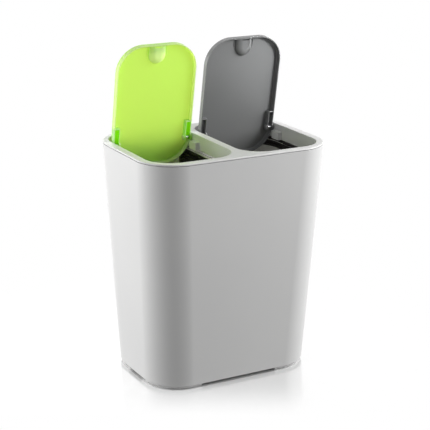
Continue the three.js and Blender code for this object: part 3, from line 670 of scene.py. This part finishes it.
def add_scoop(lid, outer):
    """Finger scoop: a dome under the panel, hollow below a lip, with a slot and a rib on each side."""
    bottom, front = PANEL_Z - SCOOP_DEPTH, LID_FRONT + SCOOP_FRONT
    bulge = keep(dome("bulge", 0, PANEL_Z + LID_PANEL / 2, bottom), outer)
    hollow = keep(dome("hollow", SCOOP_WALL, PANEL_Z, bottom + SCOOP_WALL),
                  block("room", (-SCOOP_WIDTH, front, bottom), (SCOOP_WIDTH, 0, LID_DEPTH)))
    mouth = keep(loft("mouth", [scoop_ring(SCOOP_WALL, PANEL_Z - OVERLAP),
                                scoop_ring(SCOOP_WALL, HINGE_BELOW_LID - SCOOP_EDGE),
                                scoop_ring(SCOOP_WALL - SCOOP_EDGE, HINGE_BELOW_LID),
                                scoop_ring(SCOOP_WALL - SCOOP_EDGE, HINGE_BELOW_LID + OVERLAP)]),
                 block("behind_lip", (-SCOOP_WIDTH, LID_FRONT + SCOOP_LIP, 0),
                       (SCOOP_WIDTH, 0, LID_DEPTH), SCOOP_LIP_ROUND))
    slot = block("slot", (-SLOT_WIDTH / 2, front, bottom - OVERLAP),
                 (SLOT_WIDTH / 2, front + SLOT_LENGTH, bottom + SCOOP_WALL + OVERLAP), SLOT_ROUND)
    add(lid, bulge)
    cut(lid, hollow, mouth, slot)
    for side in SIDES:
        x0, x1 = sorted((side * SCOOP_RIB_X, side * (SCOOP_RIB_X + SCOOP_RIB_THICKNESS)))
        add(lid, block("rib", (x0, LID_FRONT + OVERLAP, PANEL_Z - SCOOP_RIB_DEPTH),
                       (x1, LID_FRONT + SCOOP_RIB_LENGTH, PANEL_Z + OVERLAP), SCOOP_RIB_ROUND))


def add_hinges(lid):
    """On each side: knuckle, ear, the ribs round the pocket, the blind cap and the bore for the pin."""
    skirt_in = LID_WIDTH / 2 - LID_SKIRT
    parts = []
    for side in SIDES:
        k0, k1 = sorted((side * skirt_in, side * KNUCKLE_END))
        e0, e1 = sorted((side * EAR_IN, side * EAR_OUT))
        r0, r1 = sorted((side * (EAR_OUT - EAR_THICKNESS / 2), side * (skirt_in + LID_SKIRT / 2)))
        parts += [bar_x("knuckle", KNUCKLE_RADIUS, k0, k1, ease=KNUCKLE_EASE),
                  plate_x("ear", lobe(EAR_RADIUS, PANEL_Z + OVERLAP), e0, e1, EAR_ROUND),
                  block("long_rib", (e0, -POCKET_LENGTH, SKIRT_Z), (e1, 0, PANEL_Z + OVERLAP), EAR_ROUND),
                  block("cross_rib", (r0, -POCKET_LENGTH, SKIRT_Z),
                        (r1, -POCKET_LENGTH + RIB_THICKNESS, PANEL_Z + OVERLAP), EAR_ROUND)]
    add(lid, *parts)
    cap_end = EAR_IN - SEAT_GAP - PIN_HEAD - CAP_GAP - CAP_WALL
    for side in SIDES:
        cap = [(cap_end + along, CAP_RADIUS - loss) for along, loss in CAP_EDGE]
        cap.append((EAR_IN + CAP_SINK, CAP_RADIUS))
        room = [(cap_end + CAP_WALL, CAP_RADIUS - CAP_WALL), (EAR_IN - CAP_ROOM_END, CAP_RADIUS - CAP_WALL)]
        turn = HALF_TURN if side < 0 else None
        boss = placed(turned("cap", cap), turn=turn)
        cut(boss, placed(turned("room", room), turn=turn))
        add(lid, boss)
    for side in SIDES:
        x0, x1 = sorted((side * (EAR_IN - BORE_START), side * MOUTH_WIDTH))
        cut(lid, bar_x("bore", PIN_BORE, x0, x1))


def make_lid():
    rings = [lid_ring(inset, SKIRT_Z + rise) for inset, rise in SKIRT_EDGE]
    rings += [lid_ring(inset, z)
              for inset, z in rounded(LID_EDGE, HINGE_BELOW_LID, True, LARGE_EDGE_STEPS)]
    lid, outer = loft("lid", rings), loft("outer", rings)
    ease = 0.4
    inside = [lid_ring(LID_SKIRT - ease, SKIRT_Z - OVERLAP), lid_ring(LID_SKIRT - ease, SKIRT_Z),
              lid_ring(LID_SKIRT, SKIRT_Z + ease)]
    inside += [lid_ring(LID_SKIRT + inset, z)
               for inset, z in rounded(PANEL_FILLET, PANEL_Z, True, SMALL_EDGE_STEPS)]
    cut(lid, loft("inside", inside))
    add_scoop(lid, outer)
    add_hinges(lid)
    return lid


lid_turn = Matrix.Rotation(math.radians(-OPEN_ANGLE), 4, "X")
closed_lid = make_lid()
for side, name, material, slot in ((-1, "left", GREEN, "green_plastic"),
                                   (1, "right", GREY, "grey_plastic")):
    lid = placed(copied(closed_lid, f"{name}_swing_lid"), (side * MOUTH_X, HINGE_Y, HINGE_Z), lid_turn)
    finished(lid, material, f"{name}_lid", f"{name}_lid")
bpy.data.objects.remove(closed_lid)


# ---- hinge pins
def make_pin():
    head = EAR_IN - SEAT_GAP - PIN_HEAD
    tip = MOUTH_WIDTH / 2 + DIVIDER_WIDTH / 2 - PIN_END_GAP
    profile = [(head + along, radius) for along, radius in PIN_HEAD_EDGE]
    profile.append((head + PIN_HEAD, PIN_RADIUS))
    profile += [(tip - along, PIN_RADIUS - loss) for along, loss in PIN_TIP_EDGE]
    return turned("pin", profile)


pin = make_pin()
for side, name in ((-1, "left"), (1, "right")):
    for where, flip in (("outer", side < 0), ("inner", side > 0)):
        piece = placed(copied(pin, f"{name}_{where}_hinge_pin"), (side * MOUTH_X, HINGE_Y, HINGE_Z),
                       HALF_TURN if flip else None)
        finished(piece, STEEL, "frame", f"{name}_lid_{where}_pin")
bpy.data.objects.remove(pin)


# ---- inner buckets, drawn for the right-hand side
def half_plan(z, middle, side, end):
    """Width, depth, outer corner radius and middle of a plan that fills the right half but for its gaps."""
    w, d, r = body_at(z)
    outer = w / 2 - BODY_WALL - side
    return outer - middle, d - 2 * (BODY_WALL + end), r - BODY_WALL - side, (outer + middle) / 2


RIM_PLAN = half_plan(BUCKET_TOP, *BUCKET_GAPS)
BASE_PLAN = half_plan(BUCKET_BOTTOM, *BUCKET_BASE_GAPS)
RIM_X = RIM_PLAN[3]
LUG_IN = RIM_PLAN[1] / 2 - HANDLE_INSET - HANDLE_WIDTH - SEAT_GAP - LUG_THICKNESS
HANDLE_Z = BUCKET_TOP + SEAT_GAP + HANDLE_HEIGHT / 2


def bucket_ring(inset, z):
    """Ring in from the bucket's tapered outside."""
    t = (z - BUCKET_BOTTOM) / (BUCKET_TOP - BUCKET_BOTTOM)
    w, d, r, x = (b + (a - 2 * BUCKET_RIM * (i < 2) - BUCKET_RIM * (i == 2) - b) * t
                  for i, (a, b) in enumerate(zip(RIM_PLAN, BASE_PLAN)))
    return ring(w - 2 * inset, d - 2 * inset, r - inset, z, (x, 0), BUCKET_MIDDLE_CORNER - inset)


def rim_ring(inset, z):
    """Ring in from the outside of the bucket's rim."""
    w, d, r, x = RIM_PLAN
    return ring(w - 2 * inset, d - 2 * inset, r - inset, z, (x, 0), BUCKET_MIDDLE_CORNER + BUCKET_RIM - inset)


def make_bucket():
    ease, ease_height = BUCKET_LEAD
    outer = [bucket_ring(inset, z)
             for inset, z in rounded(BUCKET_FILLET, BUCKET_BOTTOM, False, BUCKET_FOOT_STEPS)]
    outer += [bucket_ring(0, HOLLOW_STATION), bucket_ring(0, BUCKET_TOP)]
    inside_bottom = BUCKET_BOTTOM + BUCKET_WALL
    inner = [bucket_ring(BUCKET_WALL + inset, z)
             for inset, z in rounded(BUCKET_INNER_FILLET, inside_bottom, False, SMALL_EDGE_STEPS)]
    inner += [bucket_ring(BUCKET_WALL, BUCKET_TOP - ease_height), bucket_ring(BUCKET_WALL - ease, BUCKET_TOP),
              bucket_ring(BUCKET_WALL - ease, BUCKET_TOP + OVERLAP)]
    low = BUCKET_TOP - BUCKET_RIM_DROP
    rim = loft("rim", [rim_ring(BUCKET_RIM_LOW_EDGE[0], low), rim_ring(0, low + BUCKET_RIM_LOW_EDGE[1])]
               + [rim_ring(inset, z) for inset, z in rounded(BUCKET_RIM_EDGE, BUCKET_TOP, True)])
    cut(rim, loft("under_rim", [rim_ring(BUCKET_RIM_WALL, low - OVERLAP),
                                rim_ring(BUCKET_RIM_WALL, BUCKET_TOP - BUCKET_RIM_THICKNESS)]))
    bucket = loft("bucket", outer)
    add(bucket, rim)
    cut(bucket, loft("inner", inner))
    x0, x1 = RIM_X - LUG_WIDTH / 2, RIM_X + LUG_WIDTH / 2
    foot, top = BUCKET_TOP - LUG_FOOT, HANDLE_Z + HANDLE_HEIGHT / 2
    bore = HANDLE_STUB_RADIUS + HANDLE_STUB_CLEARANCE
    for end in SIDES:
        y0, y1 = sorted((end * LUG_IN, end * (LUG_IN + LUG_THICKNESS)))
        root0, root1 = sorted((end * (RIM_PLAN[1] / 2 - BUCKET_RIM), end * LUG_IN))
        add(bucket, block("lug", (x0, y0, foot), (x1, y1, top), LUG_ROUND),
            block("root", (x0, root0, foot), (x1, root1, BUCKET_TOP)))
        hole = turned("hole", [(y0 - OVERLAP, bore), (y1 + OVERLAP, bore)])
        cut(bucket, placed(hole, (RIM_X, 0, HANDLE_Z), QUARTER_TURN))
    return bucket


def handle_path(half_x, half_y, corner):
    """Outside of the bail as it lies on the rim, from one lug round to the other."""
    path = [(0, -half_y)]
    for y, start in ((corner - half_y, -90), (half_y - corner, 0)):
        for i in range(CORNER_STEPS + 1):
            a = math.radians(start + 90 * i / CORNER_STEPS)
            path.append((half_x - corner + corner * math.cos(a), y + corner * math.sin(a)))
    path.append((0, half_y))
    return path


def handle_section():
    """Rounded rectangle, across and up, from the outside of the bail inwards."""
    section = []
    for quarter, (sx, sy) in enumerate(((1, 1), (-1, 1), (-1, -1), (1, -1))):
        for i in range(HANDLE_STEPS + 1):
            a = math.pi / 2 * (quarter + i / HANDLE_STEPS)
            across = HANDLE_WIDTH / 2 + sx * (HANDLE_WIDTH / 2 - HANDLE_ROUND) + HANDLE_ROUND * math.cos(a)
            section.append((across, sy * (HANDLE_HEIGHT / 2 - HANDLE_ROUND) + HANDLE_ROUND * math.sin(a)))
    return section


def make_handle():
    half_x, half_y = RIM_PLAN[0] / 2 - HANDLE_INSET, RIM_PLAN[1] / 2 - HANDLE_INSET
    path, section = handle_path(half_x, half_y, RIM_PLAN[2] - HANDLE_INSET), handle_section()
    verts = []
    for i, (x, y) in enumerate(path):
        before, after = path[max(i - 1, 0)], path[min(i + 1, len(path) - 1)]
        along = Vector((after[0] - before[0], after[1] - before[1])).normalized()
        inward = Vector((-along.y, along.x))
        verts += [(RIM_X + x + inward.x * u, y + inward.y * u, HANDLE_Z + v) for u, v in section]
    faces = skin(len(path), len(section)) + ends(len(path), len(section))
    handle = make("handle", verts, [face[::-1] for face in faces])
    grip_x, half_grip, half_height = RIM_X + half_x, HANDLE_GRIP / 2, HANDLE_HEIGHT / 2
    add(handle, block("grip", (grip_x - HANDLE_WIDTH - HANDLE_GRIP_EXTRA, -half_grip, HANDLE_Z - half_height),
                      (grip_x - HANDLE_WIDTH / 2, half_grip, HANDLE_Z + half_height), GRIP_ROUND, 4))
    for end in SIDES:
        eye = *sorted((end * (half_y - HANDLE_WIDTH), end * half_y)), half_height
        stub = *sorted((end * (LUG_IN - SEAT_GAP), end * (half_y - HANDLE_WIDTH / 2))), HANDLE_STUB_RADIUS
        add(handle, *(placed(bar_x("bearing", r, a, b, ease=HANDLE_EASE), (RIM_X, 0, HANDLE_Z), QUARTER_TURN)
                      for a, b, r in (eye, stub)))
    return handle


def make_painted_shade_band():
    """Thin dark ribbed band inside the bucket's mouth, painted shade where shade falls below the hopper: it
    reaches lowest beside the divider.
    """
    stations = [(BAND_BACK, BAND_LOW_MIDDLE), (BAND_BACK, BAND_TOP), (BAND_BASE, BAND_TOP)]
    full, full_end, foot = BAND_RIB_EDGES
    z = BAND_TOP - BAND_FIRST_RIB
    while z - BAND_PITCH > BAND_LOW_MIDDLE:
        stations += [(BAND_BASE, z), (BAND_BASE + BAND_RIB, z - full), (BAND_BASE + BAND_RIB, z - full_end),
                     (BAND_BASE, z - foot)]
        z -= BAND_PITCH
    stations.append((BAND_BASE, BAND_LOW_MIDDLE))
    band = tube("band", [bucket_ring(BUCKET_WALL + inset, z) for inset, z in stations])
    left, right = RIM_X - RIM_PLAN[0] / 2, RIM_X + RIM_PLAN[0] / 2
    reach = RIM_PLAN[1]
    for x0, low in ((left + BUCKET_MIDDLE_CORNER / 2, BAND_LOW_ENDS),
                    (right - BAND_OUTER_REACH, BAND_LOW_OUTER)):
        cut(band, block("short", (x0, -reach, BAND_LOW_MIDDLE - BAND_PAST), (right + BAND_PAST, reach, low),
                        BAND_ROUND, 4))
    return band


bucket, handle, band = make_bucket(), make_handle(), make_painted_shade_band()
for copy_of, name in ((copied, "right"), (mirrored, "left")):
    finished(copy_of(bucket, f"{name}_inner_bucket"), BUCKET, f"{name}_bucket", f"{name}_bucket")
    finished(copy_of(handle, f"{name}_bail"), BLACK, f"{name}_bucket_handle", f"{name}_bucket_handle")
    # dark sheet of painted shade in each bucket's mouth
    finished(copy_of(band, f"{name}_ribbed_painted_shade_band"), BLACK, f"{name}_bucket", None)
for piece in (bucket, handle, band):
    bpy.data.objects.remove(piece)


# ---- floor
def make_floor():
    """White floor with a soft shadow and a reflection that fades with distance from the base."""
    obj = make("floor", [(sx * FLOOR_REACH, sy * FLOOR_REACH, -FLOOR_DROP)
                         for sx, sy in ((-1, -1), (1, -1), (1, 1), (-1, 1))], [(0, 1, 2, 3)])
    mat, tree, unused = new_material("floor")
    tree.nodes.remove(unused)
    place = tree.nodes.new("ShaderNodeTexCoord").outputs["Object"]

    def fade(value, near, far, share):
        node = tree.nodes.new("ShaderNodeMapRange")
        node.interpolation_type = "SMOOTHSTEP"
        node.inputs["From Min"].default_value = near * MM
        node.inputs["From Max"].default_value = far * MM
        node.inputs["To Min"].default_value = share
        node.inputs["To Max"].default_value = 0
        tree.links.new(value, node.inputs["Value"])
        return node.outputs["Result"]

    core = ((BASE_WIDTH / 2 - BASE_CORNER) * MM, (BASE_DEPTH / 2 - BASE_CORNER) * MM, 1)
    past = vector_node(tree, "SUBTRACT", vector_node(tree, "ABSOLUTE", place), core)
    from_core = vector_node(tree, "LENGTH", vector_node(tree, "MAXIMUM", past, (0, 0, 0)))
    away = math_node(tree, "SUBTRACT", from_core, BASE_CORNER * MM)
    forward = vector_node(tree, "DOT_PRODUCT", place, GLOSS_DIRECTION)

    clear = tree.nodes.new("ShaderNodeBsdfTransparent").outputs["BSDF"]
    matt = tree.nodes.new("ShaderNodeBsdfDiffuse")
    matt.inputs["Color"].default_value = FLOOR_WHITE
    gloss = tree.nodes.new("ShaderNodeBsdfGlossy")
    gloss.inputs["Color"].default_value = (1, 1, 1, 1)
    gloss.inputs["Roughness"].default_value = FLOOR_ROUGHNESS
    matt_share = math_node(tree, "MAXIMUM", fade(away, 0, FLOOR_SHADOW_REACH, FLOOR_SHADOW),
                           fade(away, *CONTACT_SHADE, 1))
    gloss_share = math_node(tree, "MULTIPLY", fade(forward, GLOSS_NEAR, GLOSS_FAR, FLOOR_GLOSS),
                            fade(away, *GLOSS_RING, 1))
    camera_ray = tree.nodes.new("ShaderNodeLightPath").outputs["Is Camera Ray"]
    seen_share = math_node(tree, "MULTIPLY", gloss_share, camera_ray)
    shadow = mixed(tree, matt_share, clear, matt.outputs["BSDF"])
    ground = mixed(tree, seen_share, shadow, gloss.outputs["BSDF"])
    from_below = tree.nodes.new("ShaderNodeNewGeometry").outputs["Backfacing"]
    tree.links.new(mixed(tree, from_below, ground, clear), tree.nodes["Material Output"].inputs["Surface"])
    obj.data.materials.append(mat)


make_floor()


# ---- light
def lamp(name, direction, power, distance=SOFTBOX_AWAY, size=SOFTBOX, spread=180, aim=(0, 0, AIM_HEIGHT)):
    """Area lamp that shines at its aim from a direction."""
    data = bpy.data.lights.new(name, "AREA")
    data.shape, data.size, data.size_y = "RECTANGLE", size[0], size[1]
    data.energy, data.spread = power, math.radians(spread)
    obj = bpy.data.objects.new(name, data)
    scene.collection.objects.link(obj)
    towards = Vector(direction).normalized()
    obj.location = Vector(aim) + towards * distance
    obj.rotation_mode = "QUATERNION"
    obj.rotation_quaternion = towards.to_track_quat("Z", "Y")


def make_world():
    """White to the camera and in reflections, a little less through the green lid, and dim as a lamp."""
    scene.world = bpy.data.worlds.new("studio")
    scene.world.use_nodes = True
    tree = scene.world.node_tree
    rays = tree.nodes.new("ShaderNodeLightPath").outputs
    seen = math_node(tree, "MAXIMUM", rays["Is Camera Ray"], rays["Is Glossy Ray"])
    through = math_node(tree, "MULTIPLY", rays["Is Transmission Ray"], THROUGH_LEVEL)
    background = tree.nodes["Background"]
    background.inputs["Color"].default_value = (1, 1, 1, 1)
    level = mapped(tree, math_node(tree, "MAXIMUM", seen, through), FILL_LEVEL, 1)
    tree.links.new(level, background.inputs["Strength"])


lamp("left_rear_softbox", (-0.8, 0.6, 0.12), 24)
lamp("left_fill", (-1, 0, 0.12), 6)
lamp("right_front_softbox", (0.8, -0.45, 0.5), 36)
lamp("rear_softbox", (0, 0.9, 0.6), 10)
lamp("lid_accent", (0.45, -0.85, 0.25), 0.65, 1.1, (0.25, 0.25), 22, (0.25, 0.1, 0.68))
make_world()


# ---- camera, from the fit to the photo's outlines
def make_camera():
    azimuth, elevation, roll = (math.radians(angle) for angle in (AZIMUTH, ELEVATION, ROLL))
    back = Vector((math.sin(azimuth) * math.cos(elevation), -math.cos(azimuth) * math.cos(elevation),
                   math.sin(elevation)))
    right = (-back).cross(Vector((0, 0, 1))).normalized()
    up = right.cross(-back)
    width = BODY_WIDTH * MM
    place = back * (CAMERA_BACK * width) + right * (CAMERA_RIGHT * width) + up * (CAMERA_UP * width)
    x_axis = right * math.cos(roll) + up * math.sin(roll)
    y_axis = -right * math.sin(roll) + up * math.cos(roll)
    data = bpy.data.cameras.new("camera")
    data.sensor_width = SENSOR
    data.lens = SENSOR * FOCAL_PIXELS / PHOTO_PIXELS
    data.clip_start, data.clip_end = CLIP_START, CLIP_END
    camera = bpy.data.objects.new("camera", data)
    scene.collection.objects.link(camera)
    rows = [(x_axis[i], y_axis[i], back[i], place[i]) for i in range(3)]
    camera.matrix_world = Matrix((*rows, (0, 0, 0, 1)))
    return camera


scene.camera = make_camera()
scene.view_settings.view_transform = "Standard"

bpy.context.view_layer.update()
